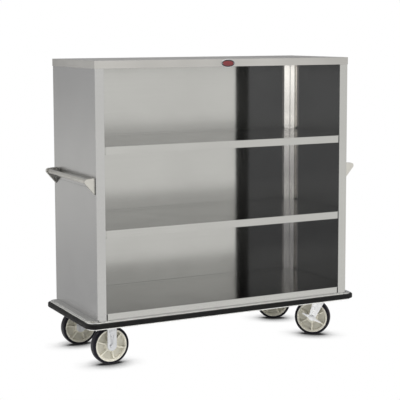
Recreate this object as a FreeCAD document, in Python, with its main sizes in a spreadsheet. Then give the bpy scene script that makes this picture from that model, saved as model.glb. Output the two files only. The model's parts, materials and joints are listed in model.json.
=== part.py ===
"""Enclosed three-bay transport cart: folded stainless cabinet on a bumpered base with four casters.

Millimetres. +Z is up, the floor is z = 0, and the origin is under the middle of the cart.
+X points to the end with the swivel casters, and the open side faces -Y.
"""
import FreeCAD, Part
import Sketcher
import math
import os
import re

DIMENSIONS = {
    # cabinet
    "cabinet_width": 1524, "cabinet_depth": 610, "cabinet_floor": 252, "overall_height": 1592,
    "gauge": 1.5, "cap_flange": 40, "cap_overhang": 2,
    "post_flange": 50, "rear_flange": 20, "foot_flange": 25, "foot_notch": 7,
    "corner_leg": 45, "corner_side_flange": 46, "corner_back_flange": 12, "corner_play": 1,
    "overshoot": 10,
    # shelves
    "upper_top": 1154, "middle_top": 722, "bottom_top": 287,
    "lip_height": 40, "bottom_lip_height": 34, "lip_return": 12, "upturn": 9,
    "shelf_play": 0.5, "shelf_end_gap": 6,
    "hat_web": 50, "hat_depth": 25, "hat_flange": 20, "hat_length": 1380,
    # base
    "deck_length": 1592, "deck_width": 616, "deck_edge": 4, "deck_gauge": 2, "deck_clip": 50,
    "bumper_length": 1644, "bumper_width": 660, "bumper_radius": 60, "bumper_proud": 14,
    "channel_bottom": 209, "channel_top": 248, "channel_flange": 6.5, "channel_lip": 16,
    "channel_web": 3, "strip_play": 0.4, "strip_round": 9, "joint_gap": 0.3,
    "base_bottom": 225, "caster_channel_width": 150, "caster_channel_length": 588,
    "rail_gap": 4, "rail_width": 60, "rail_pitch": 300,
    # handles
    "bar_offset": 41, "bar_height": 978, "bar_radius": 12, "bracket_reach": 294,
    "bracket_depth": 22, "bracket_wall": 2.5, "bracket_nose": 15,
    "bracket_top": 996, "bracket_bottom": 908,
    "handle_bolt_radius": 3, "handle_bolt_low": 938, "handle_bolt_high": 978,
    "handle_bolt_head": 5.7, "handle_head_height": 3.5, "handle_nut_flats": 10,
    "handle_nut_height": 5, "thread_end": 2,
    # oval plate on the cap
    "badge_half_width": 42, "badge_half_height": 22, "badge_rise": 1569, "badge_thickness": 1.5,
    "rivet_spread": 33.6, "rivet_radius": 2.5,
    # casters
    "rigid_caster_x": 662, "swivel_caster_x": 652, "caster_pitch_y": 444, "caster_top": 247,
    "plate_x": 101.6, "plate_y": 114.3, "plate_thickness": 6,
    "bolt_pitch_x": 66.7, "bolt_pitch_y": 92, "bolt_radius": 4.76, "bolt_hole": 5.1,
    "bolt_head": 8.5, "bolt_head_height": 4.5, "nut_flats": 14.3, "nut_height": 7,
    "wheel_radius": 101.6, "tread_half": 25, "rim_radius": 87, "rim_inner": 79, "rim_half": 23.5,
    "web_half": 5, "hub_radius": 31, "hub_half": 28, "spoke_half": 18, "spoke_width": 9, "draft": 2,
    "bearing_radius": 15, "axle_radius": 6.35, "axle_flats": 19, "axle_head_height": 6.8,
    "axle_nut_height": 10, "axle_end": 14, "running_play": 0.05,
    "fork_inner": 29.5, "fork_outer": 34, "leg_width": 52,
    "trail": 48, "swivel_leg_radius": 18, "shoulder_rear": 32, "shoulder_front": 44,
    "crown_top": 232, "crown_thickness": 5, "guard_width": 3, "guard_height": 8,
    "crown_radius": 43, "race_radius": 30, "race_edge": 38, "race_rise": 3, "ball_radius": 4,
    "kingpin_radius": 8, "kingpin_head": 13, "kingpin_head_height": 6, "kingpin_end": 8,
    "lever_half": 60, "lever_waist": 9, "lever_tip": 2.5, "lever_thickness": 5, "lever_boss": 14,
    "lever_gap": 0.5, "lever_boss_height": 7.5,
}
# The casters' places along the cart: rigid ones on the left, swivel ones on the right.
COLUMN = {-1: "-rigid_caster_x", 1: "swivel_caster_x"}
# An outline drawn inside a 45 degree clip is shorter there by this much per unit of inset.
CLIP_LOSS = 2 - math.sqrt(2)
# Resting angles of the freely turning parts, in degrees: swivel heading, lever tilt, first spoke.
HEADING = {"right_front": -41, "right_rear": -30}
LEVER_TILT = 25
FIRST_SPOKE = {"left_front": -77, "left_rear": -68, "right_front": -92, "right_rear": -64}
SPOKES = 6
BALLS = 20

doc = FreeCAD.newDocument("transport_cart")
sheet = doc.addObject("Spreadsheet::Sheet", "Sheet")
for row, (alias, size) in enumerate(DIMENSIONS.items(), start=1):
    sheet.set(f"A{row}", alias)
    sheet.set(f"B{row}", str(size))
    sheet.setAlias(f"B{row}", alias)
doc.recompute()
nodes = []


# ---------------------------------------------------------------- helpers
def bound(text):
    """The expression with every sheet alias written in full."""
    return re.sub(r"\b[a-z]+(?:_[a-z]+)*\b",
                  lambda word: "Sheet." + word.group() if word.group() in DIMENSIONS else word.group(),
                  str(text))


def number(text):
    """What an expression comes to now."""
    return float(sheet.evalExpression(bound(text)))


def node(solid, label):
    """Name a finished sub-part."""
    solid.Label = label
    nodes.append(solid)
    return solid


def span(side, inner, outer):
    """Low and high expression of a stretch that is mirrored by side, -1 or +1."""
    return (inner, outer) if side > 0 else (f"-({outer})", f"-({inner})")


def middle(length):
    """Low and high expression of a stretch centred on zero."""
    return f"-({length}) / 2", f"({length}) / 2"


def block(x, y, z):
    """A box from three pairs of expressions."""
    solid = doc.addObject("Part::Box", "block")
    for side, axis, (low, high) in zip(("Length", "Width", "Height"), "xyz", (x, y, z)):
        solid.setExpression(side, bound(f"({high}) - ({low})"))
        solid.setExpression(f"Placement.Base.{axis}", bound(low))
    return solid


def rod(radius, length, start=(0, 0, 0), axis="z"):
    """A cylinder from its start along a row axis."""
    solid = doc.addObject("Part::Cylinder", "rod")
    solid.setExpression("Radius", bound(radius))
    solid.setExpression("Height", bound(length))
    place(solid, start, turn_onto(axis))
    return solid


def hexagon(across_flats, length, start, axis="z"):
    """A hexagonal prism from its start along a row axis."""
    solid = doc.addObject("Part::Prism", "hexagon")
    solid.Polygon = 6
    solid.setExpression("Circumradius", bound(f"({across_flats}) / sqrt(3)"))
    solid.setExpression("Height", bound(length))
    place(solid, start, turn_onto(axis))
    return solid


def turn_onto(axis):
    """The rotation that takes +Z onto a row axis."""
    target = {"x": (1, 0, 0), "y": (0, 1, 0), "z": (0, 0, 1)}[axis]
    return FreeCAD.Rotation(FreeCAD.Vector(0, 0, 1), FreeCAD.Vector(*target))


def place(solid, position, rotation=None):
    """Put an object at a point given as three expressions."""
    solid.Placement = FreeCAD.Placement(FreeCAD.Vector(), rotation or FreeCAD.Rotation())
    for axis, text in zip("xyz", position):
        solid.setExpression(f"Placement.Base.{axis}", bound(text))
    return solid


def fuse(*solids):
    joined = doc.addObject("Part::MultiFuse", "fuse")
    joined.Shapes = list(solids)
    joined.Refine = True
    return joined


def group(*solids):
    """Separate solids that share one sub-part."""
    together = doc.addObject("Part::Compound", "group")
    together.Links = list(solids)
    return together


def cut(base, *tools):
    result = doc.addObject("Part::Cut", "cut")
    result.Base = base
    result.Tool = tools[0] if len(tools) == 1 else group(*tools)
    return result


def body(label):
    return doc.addObject("PartDesign::Body", label)


def sketch(owner, role="XY_Plane", offset=None):
    """A sketch on one of the body's own origin planes."""
    plane = next(feature for feature in owner.Origin.OriginFeatures if feature.Role == role)
    drawn = owner.newObject("Sketcher::SketchObject", "sketch")
    drawn.AttachmentSupport = [(plane, "")]
    drawn.MapMode = "FlatFace"
    if offset is not None:
        drawn.setExpression("AttachmentOffset.Base.z", bound(offset))
    return drawn


def pin_down(drawn, geometry, point, across, up):
    """Tie a point of the sketch to the sketch's origin."""
    for kind, text in (("DistanceX", across), ("DistanceY", up)):
        index = drawn.addConstraint(
            Sketcher.Constraint(kind, -1, 1, geometry, point, number(text)))
        drawn.setExpression(f"Constraints[{index}]", bound(text))


def polygon(drawn, corners):
    """A closed outline of straight edges through pairs of expressions."""
    points = [FreeCAD.Vector(number(across), number(up), 0) for across, up in corners]
    first = drawn.GeometryCount
    for here, there in zip(points, points[1:] + points[:1]):
        drawn.addGeometry(Part.LineSegment(here, there), False)
    for index, (across, up) in enumerate(corners):
        following = (index + 1) % len(corners)
        drawn.addConstraint(
            Sketcher.Constraint("Coincident", first + index, 2, first + following, 1))
        pin_down(drawn, first + index, 1, across, up)


def set_radius(drawn, geometry, radius):
    index = drawn.addConstraint(Sketcher.Constraint("Radius", geometry, number(radius)))
    drawn.setExpression(f"Constraints[{index}]", bound(radius))


def circle(drawn, across, up, radius):
    centre = FreeCAD.Vector(number(across), number(up), 0)
    index = drawn.addGeometry(
        Part.Circle(centre, FreeCAD.Vector(0, 0, 1), number(radius)), False)
    pin_down(drawn, index, 3, across, up)
    set_radius(drawn, index, radius)


def rounded_rectangle(drawn, length, width, radius):
    """A rectangle centred on the origin, with four equal arcs at its corners."""
    half_x, half_y, round_ = number(length) / 2, number(width) / 2, number(radius)
    first = drawn.GeometryCount
    for quarter in range(4):
        start = math.radians(90 * quarter)
        sign_x = 1 if quarter in (0, 3) else -1
        sign_y = 1 if quarter in (0, 1) else -1
        centre = FreeCAD.Vector(sign_x * (half_x - round_), sign_y * (half_y - round_), 0)
        corner = Part.Circle(centre, FreeCAD.Vector(0, 0, 1), round_)
        drawn.addGeometry(Part.ArcOfCircle(corner, start, start + math.pi / 2), False)
        pin_down(drawn, first + quarter, 3, f"{sign_x} * (({length}) / 2 - ({radius}))",
                 f"{sign_y} * (({width}) / 2 - ({radius}))")
        set_radius(drawn, first + quarter, radius)
    for quarter in range(4):
        arc, following = first + quarter, first + (quarter + 1) % 4
        edge = drawn.addGeometry(Part.LineSegment(
            drawn.getPoint(arc, 2), drawn.getPoint(following, 1)), False)
        drawn.addConstraint(Sketcher.Constraint("Tangent", arc, 2, edge, 1))
        drawn.addConstraint(Sketcher.Constraint("Tangent", edge, 2, following, 1))


def pad(owner, drawn, length, symmetric=False, reverse=False):
    raised = owner.newObject("PartDesign::Pad", "pad")
    raised.Profile = drawn
    raised.setExpression("Length", bound(length))
    raised.SideType = "Symmetric" if symmetric else "One side"
    raised.Reversed = reverse
    return raised


def pocket(owner, drawn, length, symmetric=False, reverse=False):
    """A pocket; the body's volume has to drop."""
    doc.recompute()
    before = owner.Shape.Volume
    sunk = owner.newObject("PartDesign::Pocket", "pocket")
    sunk.Profile = drawn
    sunk.setExpression("Length", bound(length))
    sunk.SideType = "Symmetric" if symmetric else "One side"
    sunk.Reversed = reverse
    doc.recompute()
    if owner.Shape.Volume >= before - 1e-6:
        raise RuntimeError(f"a pocket of {owner.Label} cuts nothing")
    return sunk


def spin(owner, drawn, kind="Revolution"):
    """A full turn of a profile about the sketch's vertical axis."""
    turned = owner.newObject(f"PartDesign::{kind}", kind.lower())
    turned.Profile = drawn
    turned.ReferenceAxis = (drawn, ["V_Axis"])
    turned.Angle = 360
    return turned


def round_edges(owner, radius, choose):
    """Round the edges of the body's tip that the test picks."""
    doc.recompute()
    tip = owner.Tip
    names = [f"Edge{index}" for index, edge in enumerate(tip.Shape.Edges, start=1) if choose(edge)]
    rounded = owner.newObject("PartDesign::Fillet", "fillet")
    rounded.Base = (tip, names)
    rounded.setExpression("Radius", bound(radius))
    return rounded


def drill(base, centres, radius, low, high, axis="z"):
    """Cut one round hole per centre, a pair of expressions across the axis."""
    tools = []
    for first, second in centres:
        start = (low, first, second) if axis == "x" else (first, second, low)
        tools.append(rod(radius, f"({high}) - ({low})", start, axis))
    return cut(base, *tools)


# ---------------------------------------------------------------- cabinet
def handle_bolt_rows(end):
    """Depth and height of the two bolts of a handle bracket, at the front, -1, or the rear, +1."""
    return [(f"{end} * (bracket_reach - bracket_depth / 2)", height)
            for height in ("handle_bolt_low", "handle_bolt_high")]


def top_cap():
    """A shallow lid that hangs over the cabinet on all four sides."""
    length = "cabinet_width + 2 * cap_overhang"
    width = "cabinet_depth + 2 * cap_overhang"
    lid = block(middle(length), middle(width), ("overall_height - cap_flange", "overall_height"))
    hollow = block(middle(f"{length} - 2 * gauge"), middle(f"{width} - 2 * gauge"),
                   ("overall_height - cap_flange - overshoot", "overall_height - gauge"))
    node(cut(lid, hollow), "top_cap")


def end_panel(side, label):
    """Web with a wide front return, a narrow rear return and a foot."""
    height = ("cabinet_floor", "overall_height - gauge")
    sheet_x = span(side, "cabinet_width / 2 - gauge", "cabinet_width / 2")
    front = ("-cabinet_depth / 2", "-cabinet_depth / 2 + gauge")
    rear = ("cabinet_depth / 2 - gauge", "cabinet_depth / 2")
    folded = fuse(
        block(sheet_x, middle("cabinet_depth"), height),
        block(span(side, "cabinet_width / 2 - post_flange", "cabinet_width / 2"), front, height),
        block(span(side, "cabinet_width / 2 - rear_flange", "cabinet_width / 2"), rear, height),
        block(span(side, "cabinet_width / 2 - foot_flange", "cabinet_width / 2"),
              (front[1], "cabinet_depth / 2 - 2 * gauge - shelf_play"),
              ("cabinet_floor", "cabinet_floor + gauge")))
    notch = block(span(side, "cabinet_width / 2 - foot_notch", "cabinet_width / 2 + overshoot"),
                  ("-cabinet_depth / 2 - overshoot", "-cabinet_depth / 2 + foot_notch"),
                  ("cabinet_floor - overshoot", "cabinet_floor + foot_notch"))
    node(drill(cut(folded, notch), handle_bolt_rows(-1) + handle_bolt_rows(1),
               "handle_bolt_radius + running_play",
               *span(side, "cabinet_width / 2 - overshoot", "cabinet_width / 2 + overshoot"), "x"),
         label)


def back_panel():
    inner = "cabinet_depth / 2 - 2 * gauge"
    node(fuse(
        block(middle("cabinet_width - 2 * gauge - 2 * shelf_play"),
              (inner, "cabinet_depth / 2 - gauge"), ("cabinet_floor", "overall_height - gauge")),
        block(middle("cabinet_width - 2 * rear_flange - 2 * foot_flange"),
              (f"{inner} - foot_flange", inner), ("cabinet_floor", "cabinet_floor + gauge"))),
        "back_panel")


def corner_post(side, label):
    """Folded post across a rear corner at 45 degrees, with a flange on either panel."""
    corner_x = "(cabinet_width / 2 - gauge)"
    corner_y = "(cabinet_depth / 2 - 2 * gauge)"
    bend = f"(corner_leg + {math.sqrt(2) - 1:.4f} * gauge)"
    back_end = "(corner_leg + corner_back_flange)"
    side_end = "(corner_leg + corner_side_flange)"
    outline = [(back_end, "0"), (back_end, "gauge"), (bend, "gauge"), ("gauge", bend),
               ("gauge", side_end), ("0", side_end), ("0", "corner_leg"), ("corner_leg", "0")]
    post = body(f"{label}_body")
    drawn = sketch(post, offset="cabinet_floor + gauge")
    polygon(drawn, [(f"{side} * ({corner_x} - {in_x})", f"{corner_y} - {in_y}")
                    for in_x, in_y in outline])
    pad(post, drawn, "overall_height - cabinet_floor - 2 * gauge")
    node(post, label)


def corner_cutter(side, low, high):
    """A turned block over the rear corner that a shelf leaves free for the corner post."""
    reach = "1.5 * corner_leg / sqrt(2)"
    inset = "(corner_leg / 2 + (gauge + corner_play) / sqrt(2))"
    start = (f"{side} * (cabinet_width / 2 - gauge - {inset}) - {reach}",
             f"cabinet_depth / 2 - 2 * gauge - {inset} + {side} * {reach}", low)
    cutter = block(("0", "3 * corner_leg"), ("0", "corner_leg"), (low, high))
    return place(cutter, start, FreeCAD.Rotation(FreeCAD.Vector(0, 0, 1), -45 * side))


def shelf(label, top, lip):
    """Tray with a turned-down front lip between the posts and upturned welding edges."""
    half = "cabinet_width / 2 - 2 * gauge - shelf_play"
    front = "-cabinet_depth / 2"
    behind_post = f"{front} + gauge + shelf_play"
    rear = "cabinet_depth / 2 - 3 * gauge - shelf_play"
    lip_x = middle("cabinet_width - 2 * post_flange - 2 * shelf_end_gap")
    pieces = [
        block((f"-({half})", half), (behind_post, rear), (f"{top} - gauge", top)),
        block(lip_x, (front, behind_post), (f"{top} - gauge", top)),
        block(lip_x, (front, f"{front} + gauge"), (f"{top} - {lip}", top)),
        block(lip_x, (front, f"{front} + gauge + lip_return"),
              (f"{top} - {lip}", f"{top} - {lip} + gauge")),
        block((f"-({half})", half), (f"{rear} - gauge", rear), (top, f"{top} + upturn")),
    ]
    for side in (-1, 1):
        pieces.append(block(span(side, f"{half} - gauge", half), (behind_post, rear),
                            (top, f"{top} + upturn")))
    corners = [corner_cutter(side, f"{top} - overshoot", f"{top} + 2 * upturn") for side in (-1, 1)]
    node(cut(fuse(*pieces), *corners), label)


def stiffener(label, under):
    """Hat section along the middle of a panel, welded up against it."""
    length = middle("hat_length")
    web = "hat_web / 2"
    pieces = [block(length, (f"-{web}", web),
                    (f"{under} - hat_depth", f"{under} - hat_depth + gauge"))]
    for side in (-1, 1):
        pieces.append(block(length, span(side, f"{web} - gauge", web),
                            (f"{under} - hat_depth", under)))
        pieces.append(block(length, span(side, f"{web} - gauge", f"{web} + hat_flange"),
                            (f"{under} - gauge", under)))
    node(fuse(*pieces), label)


# ---------------------------------------------------------------- base
def bolt_centres(columns=(-1, 1), rows=(-1, 1)):
    """Centres of the caster bolts of the chosen casters."""
    return [(f"{COLUMN[column]} + {step_x} * bolt_pitch_x / 2",
             f"{row_} * caster_pitch_y / 2 + {step_y} * bolt_pitch_y / 2")
            for column in columns for row_ in rows for step_x in (-1, 1) for step_y in (-1, 1)]


def base_deck():
    """Flat pan with clipped corners and a short turned-down edge."""
    pan = body("deck_pan")
    for inset, low, depth, action in (
            ("0", "cabinet_floor - deck_edge", "deck_edge", pad),
            ("deck_gauge", "cabinet_floor - deck_gauge", "deck_edge - deck_gauge", pocket)):
        x = f"(deck_length / 2 - {inset})"
        y = f"(deck_width / 2 - {inset})"
        clip = f"(deck_clip - {CLIP_LOSS:.3f} * {inset})"
        drawn = sketch(pan, offset=low)
        polygon(drawn, [(f"{x} - {clip}", y), (f"-{x} + {clip}", y), (f"-{x}", f"{y} - {clip}"),
                        (f"-{x}", f"-{y} + {clip}"), (f"-{x} + {clip}", f"-{y}"),
                        (f"{x} - {clip}", f"-{y}"), (x, f"-{y} + {clip}"), (x, f"{y} - {clip}")])
        action(pan, drawn, depth)
    node(drill(pan, bolt_centres(), "bolt_hole", "cabinet_floor - overshoot",
               "cabinet_floor + overshoot"), "base_deck")


def channel(x, y, web_top, web, legs_bottom, along):
    """A channel open downwards, with its web on top and its legs along one axis."""
    pieces = [block(x, y, (f"{web_top} - {web}", web_top))]
    for end in (0, 1):
        inner = f"{(x if along == 'y' else y)[end]} {'+-'[end]} {web}"
        outer = (x if along == "y" else y)[end]
        edge = (outer, inner) if end == 0 else (inner, outer)
        leg_x, leg_y = (edge, y) if along == "y" else (x, edge)
        pieces.append(block(leg_x, leg_y, (legs_bottom, web_top)))
    return fuse(*pieces)


def caster_channel(side, label):
    """Channel across the cart that a pair of casters is bolted to."""
    centre = COLUMN[side]
    across = (f"{centre} - caster_channel_width / 2", f"{centre} + caster_channel_width / 2")
    folded = channel(across, middle("caster_channel_length"), "cabinet_floor - deck_gauge",
                     "(cabinet_floor - deck_gauge - caster_top)", "base_bottom", "y")
    node(drill(folded, bolt_centres(columns=(side,)), "bolt_hole", "base_bottom", "cabinet_floor"),
         label)


def base_rail(side, label):
    """Channel under the deck that runs from one caster channel to the other."""
    centre = f"{side} * rail_pitch / 2"
    across = (f"{centre} - rail_width / 2", f"{centre} + rail_width / 2")
    length = (f"{COLUMN[-1]} + caster_channel_width / 2 + rail_gap",
              f"{COLUMN[1]} - caster_channel_width / 2 - rail_gap")
    node(channel(length, across, "cabinet_floor - deck_gauge", "deck_gauge", "base_bottom", "x"),
         label)


def ring_stretches(size):
    """A corner, the straight length and the other corner of the bumper, along one direction."""
    reach, straight = f"(({size}) / 2 + overshoot)", f"(({size}) / 2 - bumper_radius)"
    return [span(-1, straight, reach), middle(f"2 * {straight} - 2 * joint_gap"),
            span(1, straight, reach)]


def in_lengths(ring, label):
    """The ring parted into a straight length for each side and a bend for each corner."""
    height = ("channel_bottom - overshoot", "channel_top + overshoot")
    lengths = []
    for across, x in enumerate(ring_stretches("bumper_length")):
        for along, y in enumerate(ring_stretches("bumper_width")):
            if across == along == 1:
                continue
            length = doc.addObject("Part::Common", "length")
            length.Base = ring
            length.Tool = block(x, y, height)
            lengths.append(length)
    node(group(*lengths), label)


def bumper_channel():
    """C section open outwards, all round the base."""
    ring = body("channel_ring")
    lip = "bumper_proud"
    web_face = "(bumper_proud + channel_lip)"
    inside = "(bumper_proud + channel_lip + channel_web)"
    web_height = "channel_top - channel_bottom - 2 * channel_flange"
    for outer, low, height in (
            (lip, "channel_bottom", "channel_flange"),
            (web_face, "channel_bottom + channel_flange", web_height),
            (lip, "channel_top - channel_flange", "channel_flange")):
        drawn = sketch(ring, offset=low)
        for inset in (outer, inside):
            rounded_rectangle(drawn, f"bumper_length - 2 * {inset}", f"bumper_width - 2 * {inset}",
                              f"bumper_radius - {inset}")
        pad(ring, drawn, height)
    in_lengths(ring, "bumper_channel")


def bumper_strip():
    """Vinyl strip held in the channel, standing proud of its lips."""
    ring = body("strip_ring")
    drawn = sketch(ring, offset="channel_bottom + channel_flange + strip_play")
    for inset in ("0", "(bumper_proud + channel_lip - strip_play)"):
        rounded_rectangle(drawn, f"bumper_length - 2 * {inset}", f"bumper_width - 2 * {inset}",
                          f"bumper_radius - {inset}")
    pad(ring, drawn, "channel_top - channel_bottom - 2 * channel_flange - 2 * strip_play")
    half_x = number("bumper_length") / 2
    half_y = number("bumper_width") / 2

    def on_outer_face(edge):
        box = edge.BoundBox
        reach_x, reach_y = max(abs(box.XMin), box.XMax), max(abs(box.YMin), box.YMax)
        return (reach_x > half_x - 1 or reach_y > half_y - 1) and box.ZLength < 1
    round_edges(ring, "strip_round", on_outer_face)
    in_lengths(ring, "bumper_strip")


# ---------------------------------------------------------------- handles and oval plate
def bracket_outline(drawn, side, wall):
    """Triangle against the end panel whose outer corner is round about the handle bar."""
    wall_x = number(f"cabinet_width / 2 + {wall}")
    centre_x = number("cabinet_width / 2 + bar_offset")
    centre_z = number("bar_height")
    radius = number(f"bracket_nose - {wall}")
    top_z, bottom_z = number(f"bracket_top - {wall}"), number(f"bracket_bottom + 3 * {wall}")

    def tangent_angle(start_z, sign):
        reach = math.hypot(centre_x - wall_x, start_z - centre_z)
        toward = math.atan2(start_z - centre_z, wall_x - centre_x)
        return toward - sign * math.acos(radius / reach)
    top_angle = tangent_angle(top_z, 1)
    bottom_angle = tangent_angle(bottom_z, -1)

    def point(x, z):
        return FreeCAD.Vector(side * x, z, 0)

    def on_nose(angle):
        return point(centre_x + radius * math.cos(angle), centre_z + radius * math.sin(angle))
    tip = on_nose((top_angle + bottom_angle) / 2)
    corners = [point(wall_x, top_z), on_nose(top_angle), on_nose(bottom_angle),
               point(wall_x, bottom_z)]
    nose = drawn.addGeometry(Part.Arc(corners[1], tip, corners[2]), False)
    pin_down(drawn, nose, 3, f"{side} * (cabinet_width / 2 + bar_offset)", "bar_height")
    set_radius(drawn, nose, f"bracket_nose - {wall}")
    starts, stops = (1, 2) if drawn.getPoint(nose, 1).distanceToPoint(corners[1]) < 0.1 else (2, 1)
    top = drawn.addGeometry(Part.LineSegment(corners[0], corners[1]), False)
    slope = drawn.addGeometry(Part.LineSegment(corners[2], corners[3]), False)
    back = drawn.addGeometry(Part.LineSegment(corners[3], corners[0]), False)
    drawn.addConstraint(Sketcher.Constraint("Tangent", top, 2, nose, starts))
    drawn.addConstraint(Sketcher.Constraint("Tangent", nose, stops, slope, 1))
    drawn.addConstraint(Sketcher.Constraint("Coincident", slope, 2, back, 1))
    drawn.addConstraint(Sketcher.Constraint("Coincident", back, 2, top, 1))
    pin_down(drawn, top, 1, f"{side} * (cabinet_width / 2 + {wall})", f"bracket_top - {wall}")
    pin_down(drawn, back, 1, f"{side} * (cabinet_width / 2 + {wall})",
             f"bracket_bottom + 3 * {wall}")


def handle_bracket(side, end, label):
    """Cup with a closed outer face, open towards the middle of the handle."""
    cup = body(f"{label}_cup")
    # The sketch plane faces -Y, so its offset is measured towards the front.
    outer_face = "bracket_reach" if end < 0 else "-bracket_reach"
    drawn = sketch(cup, "XZ_Plane", outer_face)
    bracket_outline(drawn, side, "0")
    pad(cup, drawn, "bracket_depth", reverse=end < 0)
    drawn = sketch(cup, "XZ_Plane", f"{outer_face} {'-' if end < 0 else '+'} bracket_wall")
    bracket_outline(drawn, side, "bracket_wall")
    pocket(cup, drawn, "bracket_depth", reverse=end > 0)
    node(drill(cup, handle_bolt_rows(end), "handle_bolt_radius + running_play",
               *span(side, "cabinet_width / 2 - overshoot", "cabinet_width / 2 + overshoot"), "x"),
         label)


def handle_bar(side, label):
    half = "(bracket_reach - bracket_wall)"
    node(rod("bar_radius", f"2 * {half}",
             (f"{side} * (cabinet_width / 2 + bar_offset)", f"-{half}", "bar_height"), "y"), label)


def handle_bolts():
    """Round heads in the bracket cups, hexagon nuts inside the cabinet."""
    bolts = []
    wall_out, wall_in = "cabinet_width / 2 + bracket_wall", "cabinet_width / 2 - gauge"
    for side in (-1, 1):
        outside = span(side, wall_out, f"{wall_out} + handle_head_height")
        inside = span(side, f"{wall_in} - handle_nut_height", wall_in)
        low, high = span(side, f"{wall_in} - handle_nut_height - thread_end",
                         f"{wall_out} + handle_head_height / 2")
        for end in (-1, 1):
            for y, z in handle_bolt_rows(end):
                bolts.append(fuse(
                    rod("handle_bolt_head", "handle_head_height", (outside[0], y, z), "x"),
                    hexagon("handle_nut_flats", "handle_nut_height", (inside[0], y, z), "x"),
                    rod("handle_bolt_radius", f"({high}) - ({low})", (low, y, z), "x")))
    node(group(*bolts), "handle_bolts")


def badge():
    """Plain oval plate on the front of the cap, and the two rivets that hold it."""
    face = "-cabinet_depth / 2 - cap_overhang"
    oval = doc.addObject("Part::Ellipse", "oval")
    oval.setExpression("MajorRadius", bound("badge_half_width"))
    oval.setExpression("MinorRadius", bound("badge_half_height"))
    plate = doc.addObject("Part::Extrusion", "oval_plate")
    plate.Base = oval
    plate.DirMode = "Custom"
    plate.Dir = FreeCAD.Vector(0, 0, 1)
    plate.setExpression("LengthFwd", bound("badge_thickness"))
    plate.Solid = True
    upright = FreeCAD.Rotation(FreeCAD.Vector(1, 0, 0), 90)
    node(place(plate, ("0", face, "badge_rise"), upright), "badge")
    rivets = []
    for side in (-1, 1):
        dome = doc.addObject("Part::Sphere", "dome")
        dome.setExpression("Radius", bound("rivet_radius"))
        dome.Angle1 = 0
        rivets.append(place(dome, (f"{side} * rivet_spread", f"{face} - badge_thickness",
                                   "badge_rise"), upright))
    node(group(*rivets), "badge_rivets")


# ---------------------------------------------------------------- casters
def station(name):
    """Plan position of a caster's plate, as two expressions."""
    side = -1 if name.startswith("left") else 1
    row_ = -1 if name.endswith("front") else 1
    return COLUMN[side], f"{row_} * caster_pitch_y / 2"


def heading(name):
    """A caster's turn about its kingpin; a rigid one points along the cart."""
    return FreeCAD.Rotation(FreeCAD.Vector(0, 0, 1), HEADING.get(name, 0))


def local_bolts():
    """Bolt centres about a caster plate's middle."""
    return [(f"{step_x} * bolt_pitch_x / 2", f"{step_y} * bolt_pitch_y / 2")
            for step_x in (-1, 1) for step_y in (-1, 1)]


def mounting_plate():
    return block(middle("plate_x"), middle("plate_y"), ("caster_top - plate_thickness", "caster_top"))


def rigid_fork(name):
    """Mounting plate with a crown and two straight legs, round at the axle."""
    pieces = [mounting_plate(),
              block(middle("leg_width"), middle("2 * fork_outer"),
                    ("caster_top - plate_thickness - crown_thickness", "caster_top"))]
    for side in (-1, 1):
        leg_y = span(side, "fork_inner", "fork_outer")
        pieces.append(block(middle("leg_width"), leg_y,
                            ("wheel_radius", "caster_top - plate_thickness / 2")))
        pieces.append(rod("leg_width / 2", "fork_outer - fork_inner",
                          ("0", leg_y[0], "wheel_radius"), "y"))
    eye = rod("axle_radius + running_play", "4 * fork_outer",
              ("0", "-2 * fork_outer", "wheel_radius"), "y")
    fork = drill(cut(fuse(*pieces), eye), local_bolts(), "bolt_hole",
                 "caster_top - 2 * overshoot", "caster_top + overshoot")
    x, y = station(name)
    node(place(fork, (x, y, "0")), f"{name}_fork")


def ball_groove(owner):
    """The track that the balls run in, turned about the kingpin."""
    drawn = sketch(owner, "XZ_Plane")
    circle(drawn, "race_radius", "(crown_top + caster_top - plate_thickness) / 2",
           "ball_radius + running_play")
    spin(owner, drawn, "Groove")


def swivel_plate(name):
    """Mounting plate with the upper ball race and the kingpin's hole."""
    plate = body(f"{name}_plate_body")
    drawn = sketch(plate, offset="caster_top - plate_thickness")
    x, y = "plate_x / 2", "plate_y / 2"
    polygon(drawn, [(x, y), (f"-{x}", y), (f"-{x}", f"-{y}"), (x, f"-{y}")])
    pad(plate, drawn, "plate_thickness")
    drawn = sketch(plate, offset="caster_top - plate_thickness")
    circle(drawn, "0", "0", "race_edge")
    pad(plate, drawn, "race_rise", reverse=True)
    ball_groove(plate)
    drawn = sketch(plate, offset="caster_top")
    circle(drawn, "0", "0", "kingpin_radius + running_play")
    for across, up in local_bolts():
        circle(drawn, across, up, "bolt_hole")
    pocket(plate, drawn, "plate_thickness + race_rise + overshoot")
    x, y = station(name)
    node(place(plate, (x, y, "0")), f"{name}_swivel_plate")


def kingpins(names):
    """Headed pins that hold the forks up to their plates."""
    under_crown = "crown_top - crown_thickness - 2 * running_play"
    pins = []
    for name in names:
        x, y = station(name)
        pins.append(fuse(rod("kingpin_radius", f"caster_top - ({under_crown}) + kingpin_end",
                             (x, y, f"{under_crown} - kingpin_end")),
                         rod("kingpin_head", "kingpin_head_height",
                             (x, y, f"{under_crown} - kingpin_head_height"))))
    node(group(*pins), "kingpins")


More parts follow.
